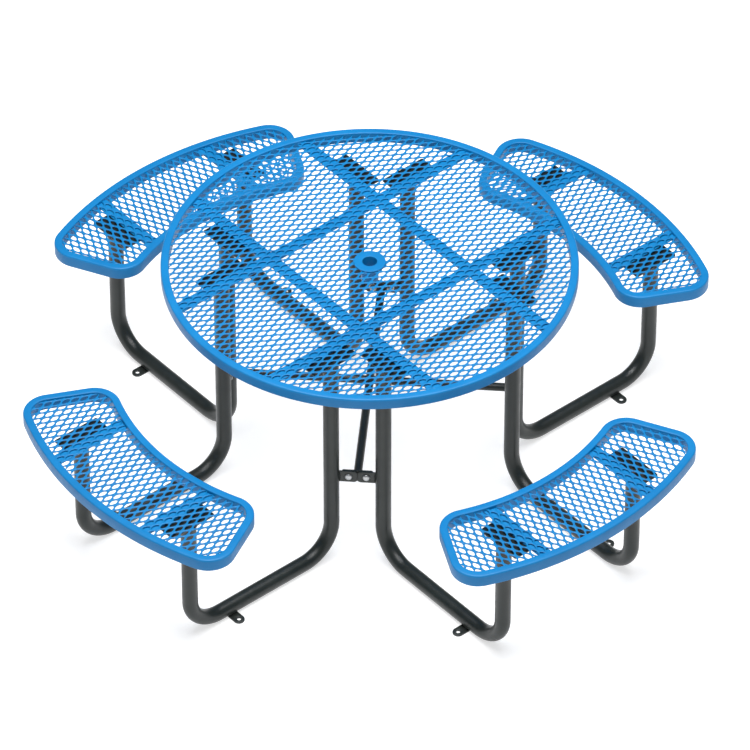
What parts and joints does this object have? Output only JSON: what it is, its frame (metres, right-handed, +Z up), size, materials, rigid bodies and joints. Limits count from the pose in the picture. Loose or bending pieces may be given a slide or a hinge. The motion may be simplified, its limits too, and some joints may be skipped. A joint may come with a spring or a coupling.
{
  "type": "picnic table",
  "caption": "Round picnic table with curved bench seats on bent steel tube legs, an expanded metal top and a sunshade hole.",
  "frame": {"origin": "on the ground under the middle of the round table top", "axes": "+Z up; seats 1, 2, 3 and 4 lie on the +X, +Y, -X and -Y sides, and the pairs of legs on the diagonals"},
  "size_m": [2.032, 2.032, 0.74],
  "materials": {
    "blue_coating": "thick satin plastic coating",
    "charcoal_coating": "semi-gloss powder coating",
    "zinc_bolts": "zinc plated"
  },
  "bodies": {
    "root": {"table_rim": "blue_coating", "table_sheet": "blue_coating", "umbrella_collar": "blue_coating", "table_strap_x_1": "blue_coating", "table_strap_x_2": "blue_coating", "table_strap_y_1": "blue_coating", "table_strap_y_2": "blue_coating", "seat_1_rim": "blue_coating", "seat_1_sheet": "blue_coating", "seat_1_strap_a": "blue_coating", "seat_1_strap_b": "blue_coating", "seat_2_rim": "blue_coating", "seat_2_sheet": "blue_coating", "seat_2_strap_a": "blue_coating", "seat_2_strap_b": "blue_coating", "seat_3_rim": "blue_coating", "seat_3_sheet": "blue_coating", "seat_3_strap_a": "blue_coating", "seat_3_strap_b": "blue_coating", "seat_4_rim": "blue_coating", "seat_4_sheet": "blue_coating", "seat_4_strap_a": "blue_coating", "seat_4_strap_b": "blue_coating", "leg_tube_1a": "charcoal_coating", "leg_tube_1b": "charcoal_coating", "table_plate_1a": "charcoal_coating", "table_plate_1b": "charcoal_coating", "seat_plate_1a": "charcoal_coating", "seat_plate_1b": "charcoal_coating", "leg_tube_2a": "charcoal_coating", "leg_tube_2b": "charcoal_coating", "table_plate_2a": "charcoal_coating", "table_plate_2b": "charcoal_coating", "seat_plate_2a": "charcoal_coating", "seat_plate_2b": "charcoal_coating", "leg_tube_3a": "charcoal_coating", "leg_tube_3b": "charcoal_coating", "table_plate_3a": "charcoal_coating", "table_plate_3b": "charcoal_coating", "seat_plate_3a": "charcoal_coating", "seat_plate_3b": "charcoal_coating", "leg_tube_4a": "charcoal_coating", "leg_tube_4b": "charcoal_coating", "table_plate_4a": "charcoal_coating", "table_plate_4b": "charcoal_coating", "seat_plate_4a": "charcoal_coating", "seat_plate_4b": "charcoal_coating", "brace_long": "charcoal_coating", "brace_half_1": "charcoal_coating", "brace_half_2": "charcoal_coating", "tie_bolt_1a": "zinc_bolts", "tie_bolt_1b": "zinc_bolts", "tie_bolt_2a": "zinc_bolts", "tie_bolt_2b": "zinc_bolts", "tie_bolt_3a": "zinc_bolts", "tie_bolt_3b": "zinc_bolts", "tie_bolt_4a": "zinc_bolts", "tie_bolt_4b": "zinc_bolts"}
  },
  "joints": []
}
